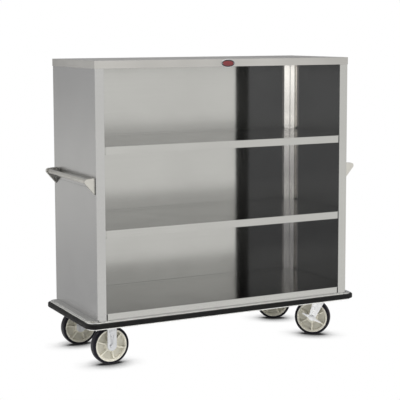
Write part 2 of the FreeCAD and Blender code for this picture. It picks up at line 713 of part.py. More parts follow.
def swivel_fork(name):
    """One-piece pressed fork: crown under the plate, legs swept back to the axle."""
    fork = body(f"{name}_fork_body")
    axle_x, axle_z = -number("trail"), number("wheel_radius")
    radius = number("swivel_leg_radius")
    shoulders = [(-number("shoulder_rear"), number("crown_top")),
                 (number("shoulder_front"), number("crown_top"))]

    def touch(corner, sign):
        """Where the edge from a shoulder is tangent to the eye of the axle."""
        reach = math.hypot(corner[0] - axle_x, corner[1] - axle_z)
        toward = math.atan2(corner[1] - axle_z, corner[0] - axle_x)
        angle = toward + sign * math.acos(radius / reach)
        return FreeCAD.Vector(axle_x + radius * math.cos(angle),
                              axle_z + radius * math.sin(angle), 0)
    rear, front = touch(shoulders[0], 1), touch(shoulders[1], -1)
    corners = [FreeCAD.Vector(*corner, 0) for corner in shoulders]
    drawn = sketch(fork, "XZ_Plane")
    lines = [drawn.addGeometry(Part.LineSegment(*ends), False)
             for ends in ((rear, corners[0]), (corners[0], corners[1]), (corners[1], front))]
    eye = drawn.addGeometry(
        Part.Arc(front, FreeCAD.Vector(axle_x, axle_z - radius, 0), rear), False)
    pin_down(drawn, eye, 3, "-trail", "wheel_radius")
    set_radius(drawn, eye, "swivel_leg_radius")
    pin_down(drawn, lines[1], 1, "-shoulder_rear", "crown_top")
    pin_down(drawn, lines[1], 2, "shoulder_front", "crown_top")
    drawn.addConstraint(Sketcher.Constraint("Coincident", lines[0], 2, lines[1], 1))
    drawn.addConstraint(Sketcher.Constraint("Coincident", lines[1], 2, lines[2], 1))
    starts, stops = (1, 2) if drawn.getPoint(eye, 1).distanceToPoint(front) < 0.1 else (2, 1)
    drawn.addConstraint(Sketcher.Constraint("Tangent", lines[2], 2, eye, starts))
    drawn.addConstraint(Sketcher.Constraint("Tangent", eye, stops, lines[0], 1))
    pad(fork, drawn, "2 * fork_outer", symmetric=True)
    drawn = sketch(fork, offset="crown_top - crown_thickness")
    circle(drawn, "0", "0", "crown_radius")
    pad(fork, drawn, "crown_thickness")
    drawn = sketch(fork, offset="crown_top")
    circle(drawn, "0", "0", "race_edge")
    pad(fork, drawn, "race_rise")
    drawn = sketch(fork, offset="crown_top")
    circle(drawn, "0", "0", "crown_radius")
    circle(drawn, "0", "0", "crown_radius - guard_width")
    pad(fork, drawn, "guard_height")
    ball_groove(fork)
    drawn = sketch(fork, "XZ_Plane")
    low, high = "0", "crown_top - crown_thickness"
    front, rear = "2 * trail", "-3 * trail"
    polygon(drawn, [(rear, low), (front, low), (front, high), (rear, high)])
    pocket(fork, drawn, "2 * fork_inner", symmetric=True)
    drawn = sketch(fork, "XZ_Plane")
    circle(drawn, "-trail", "wheel_radius", "axle_radius + running_play")
    pocket(fork, drawn, "3 * fork_outer", symmetric=True)
    drawn = sketch(fork, offset="crown_top + overshoot")
    circle(drawn, "0", "0", "kingpin_radius + running_play")
    pocket(fork, drawn, "3 * overshoot")
    x, y = station(name)
    node(place(fork, (x, y, "0"), heading(name)), f"{name}_fork")


def ball_ring(name):
    """The balls between the upper and the lower race."""
    balls = []
    for index in range(BALLS):
        angle = 360 * index / BALLS
        ball = doc.addObject("Part::Sphere", "ball")
        ball.setExpression("Radius", bound("ball_radius"))
        balls.append(place(ball, (f"race_radius * cos({angle} deg)",
                                  f"race_radius * sin({angle} deg)",
                                  "(crown_top + caster_top - plate_thickness) / 2")))
    x, y = station(name)
    node(place(group(*balls), (x, y, "0"), heading(name)), f"{name}_swivel_balls")


def axle_bolt(front, rear):
    """Hexagon head bolt along the wheel's axis, from its head's face to its end."""
    return fuse(rod("axle_radius", f"{rear} + ({front})", ("0", f"-({front})", "0"), "y"),
                hexagon("axle_flats", "axle_head_height",
                        ("0", f"-({front}) - axle_head_height", "0"), "y"))


def axle_nut():
    return cut(hexagon("axle_flats", "axle_nut_height", ("0", "fork_outer", "0"), "y"),
               rod("axle_radius + running_play", "axle_nut_height + 2 * overshoot",
                   ("0", "fork_outer - overshoot", "0"), "y"))


def axle_place(name):
    """Where a wheel's centre is: a position in numbers, turned by the caster's heading."""
    x, y = (number(text) for text in station(name))
    trail = number("trail") if name in HEADING else 0
    back = heading(name).multVec(FreeCAD.Vector(-trail, 0, 0))
    return FreeCAD.Vector(x, y, number("wheel_radius")) + back


def at_axle(solid, name, turn=0):
    """Put a part that is drawn about its axle into its caster."""
    about_axle = FreeCAD.Rotation(FreeCAD.Vector(0, -1, 0), turn)
    solid.Placement = FreeCAD.Placement(axle_place(name), heading(name).multiply(about_axle))
    return solid


def wheel(name):
    """Tread, hub and bearing, drawn about the Y axis."""
    tread = body(f"{name}_tread_body")
    drawn = sketch(tread)
    polygon(drawn, [("rim_radius", "-tread_half"), ("wheel_radius", "-tread_half"),
                    ("wheel_radius", "tread_half"), ("rim_radius", "tread_half")])
    spin(tread, drawn)
    outer = number("wheel_radius")
    round_edges(tread, "0.4 * tread_half", lambda edge: abs(edge.BoundBox.XMax - outer) < 0.01
                and edge.BoundBox.YLength < 0.01)
    node(at_axle(tread, name), f"{name}_tread")

    hub = body(f"{name}_hub_body")
    drawn = sketch(hub)
    profile = [("bearing_radius", "hub_half"), ("hub_radius", "hub_half"),
               ("hub_radius + draft", "web_half"), ("rim_inner - draft", "web_half"),
               ("rim_inner", "rim_half"), ("rim_radius", "rim_half")]
    polygon(drawn, profile + [(across, f"-{up}") for across, up in reversed(profile)])
    spin(hub, drawn)
    drawn = sketch(hub, "XZ_Plane")
    inner, reach, half = "hub_radius - draft", "rim_inner + draft", "spoke_width / 2"
    polygon(drawn, [(inner, f"-{half}"), (reach, f"-{half}"), (reach, half), (inner, half)])
    spoke = pad(hub, drawn, "2 * spoke_half", symmetric=True)
    doc.recompute()
    spokes = hub.newObject("PartDesign::PolarPattern", "spokes")
    spokes.Originals = [spoke]
    spokes.Axis = (next(axis for axis in hub.Origin.OriginFeatures if axis.Role == "Y_Axis"), [""])
    spokes.Angle = 360
    spokes.Occurrences = SPOKES
    hub.Tip = spokes
    node(at_axle(hub, name, FIRST_SPOKE[name]), f"{name}_hub")

    sleeve = cut(rod("bearing_radius", "2 * hub_half", ("0", "-hub_half", "0"), "y"),
                 rod("axle_radius + running_play", "3 * hub_half", ("0", "-1.5 * hub_half", "0"), "y"))
    node(at_axle(sleeve, name), f"{name}_bearing")


def brake_lever(name):
    """Rocker on the axle, outside the fork; its boss is the cam that clamps the leg."""
    lever = body(f"{name}_lever_body")
    drawn = sketch(lever, "XZ_Plane", "fork_outer + lever_gap")
    polygon(drawn, [("-lever_half", "-lever_tip"), ("-lever_boss", "-lever_waist"),
                    ("lever_boss", "-lever_waist"), ("lever_half", "-lever_tip"),
                    ("lever_half", "lever_tip"), ("lever_boss", "lever_waist"),
                    ("-lever_boss", "lever_waist"), ("-lever_half", "lever_tip")])
    pad(lever, drawn, "lever_thickness")
    drawn = sketch(lever, "XZ_Plane", "fork_outer + lever_gap")
    circle(drawn, "0", "0", "lever_boss")
    pad(lever, drawn, "lever_boss_height")
    drawn = sketch(lever, "XZ_Plane", "2 * fork_outer")
    circle(drawn, "0", "0", "axle_radius + running_play")
    pocket(lever, drawn, "2 * fork_outer")
    node(at_axle(lever, name, -LEVER_TILT), f"{name}_brake_lever")


def casters():
    every = list(FIRST_SPOKE)
    rigid = [name for name in every if name not in HEADING]
    for name in rigid:
        rigid_fork(name)
    node(group(*[at_axle(axle_bolt("fork_outer", "fork_outer + axle_end"), name)
                 for name in rigid]), "left_axles")
    node(group(*[at_axle(axle_nut(), name) for name in rigid]), "left_axle_nuts")
    for name in HEADING:
        swivel_plate(name)
        swivel_fork(name)
        ball_ring(name)
        node(at_axle(axle_bolt("fork_outer + lever_boss_height + 2 * lever_gap",
                               "fork_outer + axle_end"), name), f"{name}_axle")
        node(at_axle(axle_nut(), name), f"{name}_axle_nut")
        brake_lever(name)
    kingpins(list(HEADING))
    for name in every:
        wheel(name)
    under_plate = "caster_top - plate_thickness"
    node(group(*[fuse(rod("bolt_radius", f"cabinet_floor - ({under_plate}) + nut_height",
                          (x, y, f"{under_plate} - nut_height")),
                      rod("bolt_head", "bolt_head_height", (x, y, "cabinet_floor")))
                 for x, y in bolt_centres()]), "caster_bolts")
    node(group(*[cut(hexagon("nut_flats", "nut_height", (x, y, f"{under_plate} - nut_height")),
                     rod("bolt_radius + running_play", "2 * overshoot",
                         (x, y, f"{under_plate} - overshoot")))
                 for x, y in bolt_centres()]), "caster_nuts")


# ---------------------------------------------------------------- the cart
top_cap()
for side, end in ((-1, "left"), (1, "right")):
    end_panel(side, f"{end}_end_panel")
    corner_post(side, f"{end}_corner_post")
    caster_channel(side, f"{end}_caster_channel")
    handle_bar(side, f"{end}_handle_bar")
    handle_bracket(side, -1, f"{end}_front_handle_bracket")
    handle_bracket(side, 1, f"{end}_rear_handle_bracket")
back_panel()
for level, lip in (("upper", "lip_height"), ("middle", "lip_height"), ("bottom", "bottom_lip_height")):
    shelf(f"{level}_shelf", f"{level}_top", lip)
stiffener("top_stiffener", "(overall_height - gauge)")
stiffener("upper_shelf_stiffener", "(upper_top - gauge)")
stiffener("middle_shelf_stiffener", "(middle_top - gauge)")
base_deck()
base_rail(-1, "front_base_rail")
base_rail(1, "rear_base_rail")
bumper_channel()
bumper_strip()
handle_bolts()
badge()
casters()

doc.recompute()
for item in doc.Objects:
    if {"Invalid", "Error"} & set(item.State):
        raise RuntimeError(f"{item.Name} ({item.Label}) did not recompute: {item.State}")
labels = [solid.Label for solid in nodes]
if len(set(labels)) != len(labels) or len(labels) > 60:
    raise RuntimeError("labels repeat, or there are more than 60")
for solid in nodes:
    if solid.Shape.isNull() or not solid.Shape.isValid():
        raise RuntimeError(f"{solid.Label} has no valid shape")
os.makedirs("parts", exist_ok=True)
for solid in nodes:
    solid.Shape.exportStep(f"parts/{solid.Label}.step")
print(len(nodes), "sub-parts written")
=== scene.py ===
"""Looks for the enclosed three-bay transport cart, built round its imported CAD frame.

Metres, in the CAD's own frame: +Z up, floor at z = 0, the open side faces -Y and the swivel
casters are at +X. CAD nodes keep their shape and get bevelled edges and finishes. Wheels, bumper
and oval plate are finer pieces that stand for their CAD nodes.
"""
import json
import math

import bmesh
import bpy
from mathutils import Matrix, Vector


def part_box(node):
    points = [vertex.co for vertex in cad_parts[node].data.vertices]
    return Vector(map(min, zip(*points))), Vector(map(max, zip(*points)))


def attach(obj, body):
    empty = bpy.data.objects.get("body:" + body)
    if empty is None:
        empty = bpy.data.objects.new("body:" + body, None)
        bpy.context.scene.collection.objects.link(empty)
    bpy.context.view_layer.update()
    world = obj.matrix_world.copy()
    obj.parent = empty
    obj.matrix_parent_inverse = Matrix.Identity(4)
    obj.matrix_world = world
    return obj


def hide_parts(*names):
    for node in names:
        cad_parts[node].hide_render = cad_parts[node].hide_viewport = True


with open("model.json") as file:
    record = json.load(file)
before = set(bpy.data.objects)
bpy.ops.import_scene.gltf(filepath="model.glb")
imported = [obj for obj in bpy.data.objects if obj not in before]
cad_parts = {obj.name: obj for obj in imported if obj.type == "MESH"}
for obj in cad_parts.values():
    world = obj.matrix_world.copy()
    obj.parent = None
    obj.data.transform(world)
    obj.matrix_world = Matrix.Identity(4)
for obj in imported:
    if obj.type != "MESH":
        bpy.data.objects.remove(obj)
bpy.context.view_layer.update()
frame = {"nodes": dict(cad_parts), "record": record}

MM = 0.001

# Which way each wheel faces and where its first spoke stands, in degrees. The left casters are
# rigid and face along the cart; the right ones have swivelled.
HEADING = {"left_front": 0, "left_rear": 0, "right_front": -41, "right_rear": -30}
FIRST_SPOKE = {"left_front": -77, "left_rear": -68, "right_front": -92, "right_rear": -64}
SPOKES = 6
# Sockets of Blender's colour mix node.
MIX_SHARE, MIX_FIRST, MIX_SECOND, MIX_RESULT = 0, 6, 7, 2


# ---------------------------------------------------------------- shader helpers
class Shader:
    """A material's node tree, written as short calls."""

    def __init__(self, name):
        self.material = bpy.data.materials.new(name)
        self.material.use_nodes = True
        self.tree = self.material.node_tree
        self.tree.nodes.clear()
        self.surface = self.add("ShaderNodeBsdfPrincipled")
        output = self.add("ShaderNodeOutputMaterial")
        self.link(self.surface.outputs[0], output.inputs["Surface"])

    def add(self, kind, **settings):
        made = self.tree.nodes.new(kind)
        for key, value in settings.items():
            setattr(made, key, value)
        return made

    def link(self, source, target):
        self.tree.links.new(source, target)

    def set(self, **inputs):
        """Principled inputs by name, spaces as underscores; a socket is linked, a number is set."""
        for key, value in inputs.items():
            socket = self.surface.inputs[key.replace("_", " ")]
            if isinstance(value, bpy.types.NodeSocket):
                self.link(value, socket)
            else:
                socket.default_value = value

    def place(self, scale=(1, 1, 1)):
        """Object coordinates, stretched by scale."""
        where = self.add("ShaderNodeTexCoord")
        stretch = self.add("ShaderNodeMapping")
        stretch.inputs["Scale"].default_value = scale
        self.link(where.outputs["Object"], stretch.inputs["Vector"])
        return stretch.outputs["Vector"]

    def noise(self, scale, size=(1, 1, 1), detail=3.0):
        texture = self.add("ShaderNodeTexNoise")
        texture.inputs["Scale"].default_value = scale
        texture.inputs["Detail"].default_value = detail
        texture.inputs["Roughness"].default_value = 0.55
        self.link(self.place(size), texture.inputs["Vector"])
        return texture.outputs["Fac"]

    def spread(self, value, low, high, from_low=0.3, from_high=0.7):
        """The value mapped from one range to another."""
        mapped = self.add("ShaderNodeMapRange", clamp=True)
        for socket, number in zip(list(mapped.inputs)[1:5], (from_low, from_high, low, high)):
            socket.default_value = number
        self.link(value, mapped.inputs["Value"])
        return mapped.outputs["Result"]

    def math(self, operation, first, second=0.0):
        step = self.add("ShaderNodeMath", operation=operation)
        for socket, value in zip(step.inputs, (first, second)):
            if isinstance(value, bpy.types.NodeSocket):
                self.link(value, socket)
            else:
                socket.default_value = value
        return step.outputs[0]

    def mix(self, share, first, second):
        """Two colours mixed by a share."""
        mixed = self.add("ShaderNodeMix", data_type="RGBA")
        for key, value in ((MIX_SHARE, share), (MIX_FIRST, first), (MIX_SECOND, second)):
            if isinstance(value, bpy.types.NodeSocket):
                self.link(value, mixed.inputs[key])
            else:
                mixed.inputs[key].default_value = value if key == MIX_SHARE else (*value, 1)
        return mixed.outputs[MIX_RESULT]

    def bump(self, height, strength):
        relief = self.add("ShaderNodeBump")
        relief.inputs["Strength"].default_value = strength
        relief.inputs["Distance"].default_value = 0.2 * MM
        self.link(height, relief.inputs["Height"])
        self.link(relief.outputs["Normal"], self.surface.inputs["Normal"])


def scaled(colour, factor):
    return tuple(min(1.0, channel * factor) for channel in colour)


# ---------------------------------------------------------------- finishes
# How quickly the brushed lines and the broader streaks change along X, Y and Z, per metre.
BRUSH_LINES = (7, 7, 1100)
BRUSH_STREAKS = (1.5, 1.5, 160)
# A face whose normal's Z is more than this counts as level.
LEVEL_ABOVE = 0.7


def brushed_steel(name, colour, roughness, stretch, cloud=0.035, painted_level_shade=1.0):
    """Stainless sheet: reflections are drawn out up and down a wall, front to back on a shelf."""
    steel = Shader(name)
    geometry = steel.add("ShaderNodeNewGeometry")
    parts = steel.add("ShaderNodeSeparateXYZ")
    steel.link(geometry.outputs["True Normal"], parts.inputs[0])
    level = steel.math("GREATER_THAN", steel.math("ABSOLUTE", parts.outputs["Z"]), LEVEL_ABOVE)
    lines = steel.noise(1.0, BRUSH_LINES, detail=5)
    streaks = steel.noise(1.0, BRUSH_STREAKS, detail=4)
    patches = steel.noise(2.2, detail=2)
    smudges = steel.noise(9.0, detail=4)
    tone = steel.mix(steel.spread(patches, 0, 1), scaled(colour, 1 - cloud),
                     scaled(colour, 1 + cloud))
    tone = steel.mix(steel.spread(streaks, 0, 0.1), tone, scaled(colour, 0.8))
    # Level faces, shelf tops above all, take a darker tone: painted shade.
    tone = steel.mix(level, tone, scaled(colour, painted_level_shade))
    rough = steel.math("ADD", steel.spread(smudges, -0.01, 0.015),
                       steel.spread(lines, -0.005, 0.01))
    steel.set(Base_Color=tone, Metallic=1.0, Roughness=steel.math("ADD", rough, roughness),
              Anisotropic=stretch, Tangent=steel.mix(level, (0, 0, 1), (0, 1, 0)))
    steel.bump(lines, 0.02)
    return steel.material


def satin_metal(name, colour, roughness):
    """Plated or extruded metal with a fine even surface."""
    metal = Shader(name)
    fine = metal.noise(900, detail=3)
    patches = metal.noise(35, detail=3)
    tone = metal.mix(metal.spread(patches, 0, 1), scaled(colour, 0.96), scaled(colour, 1.04))
    metal.set(Base_Color=tone, Metallic=1.0,
              Roughness=metal.math("ADD", metal.spread(patches, -0.05, 0.06), roughness))
    metal.bump(fine, 0.06)
    return metal.material


def rubber(name, colour, roughness, bump_scale, dust):
    """Black rubber or vinyl with a faint dusty bloom."""
    skin = Shader(name)
    fine = skin.noise(bump_scale, detail=5)
    bloom = skin.noise(28, detail=4)
    pale = tuple(channel + 0.02 for channel in colour)
    tone = skin.mix(skin.spread(bloom, 0, dust, 0.4, 0.75), colour, pale)
    skin.set(Base_Color=tone, Specular_IOR_Level=0.22,
             Roughness=skin.math("ADD", skin.spread(bloom, -0.06, 0.08), roughness))
    skin.bump(fine, 0.12)
    return skin.material


def moulded(name, ridge, shaded_recess, roughness):
    """Hub moulding: pale ribs and rims, with painted shade making it greyer down in the web between
    them.
    """
    plastic = Shader(name)
    mottle = plastic.noise(55, detail=4)
    fine = plastic.noise(700, detail=3)
    depth = plastic.add("ShaderNodeAttribute", attribute_name="depth").outputs["Fac"]
    # Painted shade: the deeper a point lies below the ribs' tops, the nearer its colour comes to
    # the shaded recess colour.
    tone = plastic.mix(plastic.spread(depth, 0, 1, 0.0, 1.0), ridge, shaded_recess)
    tone = plastic.mix(plastic.spread(mottle, 0, 0.35), tone, scaled(shaded_recess, 0.85))
    plastic.set(Base_Color=tone, Specular_IOR_Level=0.4,
                Roughness=plastic.math("ADD", plastic.spread(mottle, -0.06, 0.08), roughness))
    plastic.bump(fine, 0.1)
    return plastic.material


def enamel(name, colour):
    """Glossy vitreous enamel with a slight orange peel."""
    glaze = Shader(name)
    ripple = glaze.noise(400, detail=2)
    depth = glaze.noise(60, detail=2)
    tone = glaze.mix(glaze.spread(depth, 0, 1), scaled(colour, 0.85), scaled(colour, 1.15))
    glaze.set(Base_Color=tone, Roughness=0.18, Coat_Weight=0.6, Coat_Roughness=0.06)
    glaze.bump(ripple, 0.08)
    return glaze.material


def finishes():
    steel = (0.60, 0.60, 0.585)
    return {
        # The cabinet's shelf tops and the cap's top are toned darker: painted shade.
        "cabinet": brushed_steel("cabinet_steel", steel, 0.115, stretch=0.95, painted_level_shade=0.5),
        "end_panel": brushed_steel("end_panel_steel", (0.60, 0.60, 0.60), 0.24, stretch=0.6),
        "cap": brushed_steel("cap_steel", (0.64, 0.63, 0.61), 0.40, stretch=0.2, cloud=0.13,
                             painted_level_shade=0.86),
        # The corner posts and their seams get a much brighter copy of the stainless: a painted
        # highlight for the bright reflection down the rear corners.
        "corner": brushed_steel("corner_steel", (0.84, 0.82, 0.79), 0.13, stretch=0.7),
        "base_steel": brushed_steel("base_steel", (0.68, 0.68, 0.67), 0.42, stretch=0.2),
        "handle_steel": satin_metal("handle_steel", (0.76, 0.745, 0.70), 0.36),
        "bumper_aluminium": satin_metal("bumper_aluminium", (0.93, 0.93, 0.91), 0.42),
        "black_vinyl": rubber("black_vinyl", (0.006, 0.006, 0.006), 0.5, 1200, dust=0.12),
        "black_rubber": rubber("black_rubber", (0.007, 0.006, 0.012), 0.42, 900, dust=0.2),
        "cream_hub": moulded("cream_hub", (0.95, 0.92, 0.80), (0.62, 0.60, 0.52), 0.42),
        "zinc_plate": satin_metal("zinc_plate", (0.70, 0.71, 0.73), 0.33),
        # The swivel casters' zinc is a brighter, glossier copy of the same plating: painted
        # highlight where they face the light.
        "bright_zinc": satin_metal("bright_zinc", (0.96, 0.965, 0.97), 0.27),
        "bearing_steel": satin_metal("bearing_steel", (0.55, 0.55, 0.56), 0.25),
        "red_enamel": enamel("red_enamel", (0.17, 0.008, 0.013)),
        "maroon_enamel": enamel("maroon_enamel", (0.022, 0.004, 0.006)),
    }


# ---------------------------------------------------------------- mesh helpers
def piece(name, mesh, finish, body, *nodes):
    """A finished mesh that rides on a body and may stand for CAD nodes."""
    made = bpy.data.objects.new(name, mesh)
    bpy.context.scene.collection.objects.link(made)
    mesh.materials.append(FINISH[finish])
    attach(made, body)
    if nodes:
        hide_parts(*nodes)


def to_mesh(name, shape, smooth_angle=35):
    """A mesh from a bmesh, smooth except over edges sharper than the angle."""
    bmesh.ops.recalc_face_normals(shape, faces=shape.faces)
    for face in shape.faces:
        face.smooth = True
    for edge in shape.edges:
        if len(edge.link_faces) == 2:
            edge.smooth = edge.calc_face_angle() < math.radians(smooth_angle)
    mesh = bpy.data.meshes.new(name)
    shape.to_mesh(mesh)
    shape.free()
    return mesh


def lathe(shape, profile, steps):
    """A closed profile of (radius, along) turned about the Y axis."""
    rings = []
    for step in range(steps):
        turn = 2 * math.pi * step / steps
        rings.append([shape.verts.new((radius * math.cos(turn), along, radius * math.sin(turn)))
                      for radius, along in profile])
    for step in range(steps):
        near, far = rings[step], rings[(step + 1) % steps]
        for index in range(len(profile)):
            following = (index + 1) % len(profile)
            shape.faces.new((near[index], near[following], far[following], far[index]))


def rounded(corners, steps=4):
    """A closed outline from (x, y, radius) corners, with an arc at each corner."""
    outline = []
    for index, (x, y, radius) in enumerate(corners):
        here = Vector((x, y))
        before = (Vector(corners[index - 1][:2]) - here).normalized()
        after = (Vector(corners[(index + 1) % len(corners)][:2]) - here).normalized()
        half = before.angle(after) / 2
        if radius <= 0 or half > math.radians(89):
            outline.append((x, y))
            continue
        reach = radius / math.tan(half)
        centre = here + (before + after).normalized() * (radius / math.sin(half))
        start, stop = here + before * reach - centre, here + after * reach - centre
        sweep = start.angle_signed(stop)
        for step in range(steps + 1):
            spoke = start.copy()
            spoke.rotate(Matrix.Rotation(-sweep * step / steps, 2))
            outline.append(tuple(centre + spoke))
    return outline


# ---------------------------------------------------------------- wheels
# Tyres and hubs are drawn about the Y axis, as (radius, along the axle, rounding) corners in
# millimetres. A hub's moulding gets more and more painted shade from this height above its
# mid-plane down to it.
RIB_TOP = 17 * MM


def axle_frame(name):
    """The wheel's axle from its CAD tread: centre, and the turn onto the caster's heading."""
    low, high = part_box(f"{name}_tread")
    heading = Matrix.Rotation(math.radians(HEADING[name]), 4, "Z")
    return Matrix.Translation((low + high) / 2) @ heading


def tyre(name):
    """Solid rubber tyre: a slightly crowned tread, round shoulders and a stepped sidewall."""
    outer, rim, half = 101.6, 87.0, 25.0
    side = [(rim, half - 1.2, 0.5), (rim + 1.8, half - 1.2, 0.4), (rim + 2.6, half - 0.2, 0.5),
            (outer - 6, half - 0.2, 2.0), (outer - 0.9, half - 6, 5.0), (outer, 4.0, 2.0),
            (outer, 0.45, 0.1), (outer - 0.35, 0.0, 0.0)]
    corners = side + [(radius, -along, round_) for radius, along, round_ in reversed(side[:-1])]
    shape = bmesh.new()
    lathe(shape, [(x * MM, y * MM) for x, y in rounded(corners)], steps=144)
    mesh = to_mesh(f"{name}_tyre", shape, 50)
    mesh.transform(axle_frame(name))
    piece(f"{name}_tyre", mesh, "black_rubber", f"{name}_wheel", f"{name}_tread")


def spoke(shape, turn, side):
    """One rib of the hub, narrower at its top, from the boss to the rim."""
    crest_line = ((28.0, 22.5), (34.0, 20.5), (55.0, 18.4), (74.0, 18.2), (80.0, 20.5))
    foot, crest, round_, buried = 11.5, 7.0, 1.6, 3
    rings = []
    for radius, height in crest_line:
        section = rounded([(-foot / 2, buried, 0), (-crest / 2, height, round_),
                           (crest / 2, height, round_), (foot / 2, buried, 0)], steps=3)
        ring = []
        for across, along in section:
            x, z = radius * MM, across * MM
            ring.append(shape.verts.new((x * math.cos(turn) - z * math.sin(turn), side * along * MM,
                                         x * math.sin(turn) + z * math.cos(turn))))
        rings.append(ring)
    for near, far in zip(rings, rings[1:]):
        for index in range(len(near)):
            following = (index + 1) % len(near)
            shape.faces.new((near[index], near[following], far[following], far[index]))
    shape.faces.new(rings[0])
    shape.faces.new(rings[-1][::-1])


def hub(name):
    """Moulded hub: boss, thin web, six ribs a side, and a stepped rim."""
    side = [(15, 28, 0.6), (22, 28, 1.5), (23.5, 26.8, 0.8), (28.5, 26.8, 1.5), (31.5, 24, 2.0),
            (33.5, 7.0, 3.0), (38, 5.5, 2.0), (68, 5.0, 1.5), (74, 6.2, 2.5), (76.2, 17, 1.5),
            (78.2, 18.2, 0.6), (79.2, 23.5, 1.4), (86, 23.5, 1.2), (87, 22, 0.4)]
    corners = side + [(radius, -along, round_) for radius, along, round_ in reversed(side)]
    shape = bmesh.new()
    lathe(shape, [(x * MM, y * MM) for x, y in rounded(corners)], steps=120)
    for index in range(SPOKES):
        turn = math.radians(FIRST_SPOKE[name] + 360 * index / SPOKES)
        for face_side in (-1, 1):
            spoke(shape, turn, face_side)
    mesh = to_mesh(f"{name}_wheel_hub", shape)
    # Painted shade: the share of shaded recess colour, from none at the ribs' tops to full at the
    # mid-plane.
    depth = mesh.attributes.new("depth", "FLOAT", "POINT")
    for vertex, value in zip(mesh.vertices, depth.data):
        value.value = max(0.0, min(1.0, (RIB_TOP - abs(vertex.co.y)) / RIB_TOP))
    mesh.transform(axle_frame(name))
    piece(f"{name}_wheel_hub", mesh, "cream_hub", f"{name}_wheel", f"{name}_hub")


# ---------------------------------------------------------------- caster trim
def dome(shape, x, z, face, radius, rise):
    """A round pressed dome on an upright face that looks along Y, at x and z."""
    out = math.copysign(1.0, face)
    pinhole = 0.05
    profile = [(pinhole, face), (radius, face), (0.86 * radius, face + out * 0.45 * rise),
               (0.55 * radius, face + out * 0.85 * rise), (pinhole, face + out * rise)]
    start = len(shape.verts)
    lathe(shape, [(r * MM, y * MM) for r, y in profile], steps=32)
    shape.verts.ensure_lookup_table()
    bmesh.ops.translate(shape, verts=shape.verts[start:], vec=(x * MM, 0, z * MM))


def pad(shape, corners, face, rise, draft):
    """A raised pad with drafted sides on an upright face, from (x, z, radius) corners."""
    out = math.copysign(1.0, face)
    foot = [Vector(point) for point in rounded(corners)]
    middle = sum(foot, Vector((0, 0))) / len(foot)
    rings = []
    for inset, height in ((0, 0), (0.35 * draft, 0.6 * rise), (draft, rise)):
        rings.append([shape.verts.new(((point.x - inset * (point - middle).normalized().x) * MM,
                                       (face + out * height) * MM,
                                       (point.y - inset * (point - middle).normalized().y) * MM))
                      for point in foot])
    for near, far in zip(rings, rings[1:]):
        for index in range(len(foot)):
            following = (index + 1) % len(foot)
            shape.faces.new((near[index], near[following], far[following], far[index]))
    shape.faces.new(rings[0])
    shape.faces.new(rings[-1][::-1])


def washer(shape, face, outer, inner, thick):
    """A ring with rounded edges that lies on an upright face round the axle."""
    out = math.copysign(1.0, face)
    corners = [(inner, face, 0), (outer, face, 0), (outer, face + out * thick, 0.4),
               (inner, face + out * thick, 0.2)]
    lathe(shape, [(r * MM, y * MM) for r, y in rounded(corners)], steps=48)


# Pads on a fork's legs as (x, height above the axle, rounding) corners, and the legs' outer faces
# out from the wheel's mid-plane, in millimetres.
RIGID_PAD = ((-15, 66, 4), (15, 66, 4), (15, 82, 4), (-15, 82, 4))
SWIVEL_PAD = ((17, 127.4, 3), (40, 127.4, 3), (23, 65, 5), (1.5, 65, 5))
LEG_FACE = 34.0


def fork_trim(name):
    """What is pressed into the fork's legs, and the washers under the axle's head and nut."""
    rigid = HEADING[name] == 0
    shape = bmesh.new()
    for side in (-1, 1):
        face = side * LEG_FACE
        if rigid:
            dome(shape, x=0, z=51, face=face, radius=6.5, rise=1.8)
            pad(shape, RIGID_PAD, face, rise=1.0, draft=1.5)
        else:
            pad(shape, SWIVEL_PAD, face, rise=1.8, draft=2.2)
        if rigid or side > 0:
            washer(shape, face, outer=14.5, inner=9.2, thick=1.2)
    mesh = to_mesh(f"{name}_fork_pressings", shape)
    mesh.transform(axle_frame(name))
    finish, body = ("zinc_plate", "cart") if rigid else ("bright_zinc", f"{name}_swivel")
    piece(f"{name}_fork_pressings", mesh, finish, body)


# ---------------------------------------------------------------- cabinet trim
def corner_bead(end):
    """Half-round seam that runs up the slanted face of a rear corner post."""
    low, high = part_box(f"{end}_corner_post")
    side = -1 if end == "left" else 1
    leg, gauge, end_gap = 45 * MM, 1.5 * MM, 1 * MM
    radius, lift = 2.2 * MM, 0.75 * MM
    share = 0.43    # how far over the slanted face the seam runs
    corner = Vector((side * max(abs(low.x), abs(high.x)), high.y))
    inward = Vector((-side, -1)).normalized()
    across = Vector((-side, 1)).normalized()
    foot = corner + Vector((-side * leg * share, -leg * (1 - share))) + inward * gauge
    turns = [math.radians(angle) for angle in range(0, 181, 20)]
    outline = [foot + across * radius * math.cos(turn) + inward * lift * math.sin(turn)
               for turn in turns]
    shape = bmesh.new()
    bottom, top = ([shape.verts.new((*point, height)) for point in outline]
                   for height in (low.z + end_gap, high.z - end_gap))
    for index in range(len(turns)):
        following = (index + 1) % len(turns)
        shape.faces.new((bottom[index], bottom[following], top[following], top[index]))
    shape.faces.new(bottom)
    shape.faces.new(top[::-1])
    piece(f"{end}_corner_seam", to_mesh(f"{end}_corner_seam", shape), "corner", "cart")


# ---------------------------------------------------------------- bumper
def swept_ring(name, section, radius, finish, node):
    """A section of (inset, height) pairs swept round the base as one length, for a CAD node."""
    low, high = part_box(node)
    steps = 16
    shape = bmesh.new()
    rings = []
    for corner in range(4):
        sign_x, sign_y = (1 if corner in (0, 3) else -1), (1 if corner in (0, 1) else -1)
        centre = Vector((sign_x * (high.x - radius), sign_y * (high.y - radius)))
        for step in range(steps + 1):
            turn = math.radians(90 * corner + 90 * step / steps)
            out = Vector((math.cos(turn), math.sin(turn)))
            rings.append([shape.verts.new((*(centre + out * (radius - inset)), height))
                          for inset, height in section])
    for index, near in enumerate(rings):
        far = rings[(index + 1) % len(rings)]
        for point in range(len(section)):
            following = (point + 1) % len(section)
            shape.faces.new((near[point], near[following], far[following], far[point]))
    piece(name, to_mesh(name, shape, 60), finish, "cart", node)


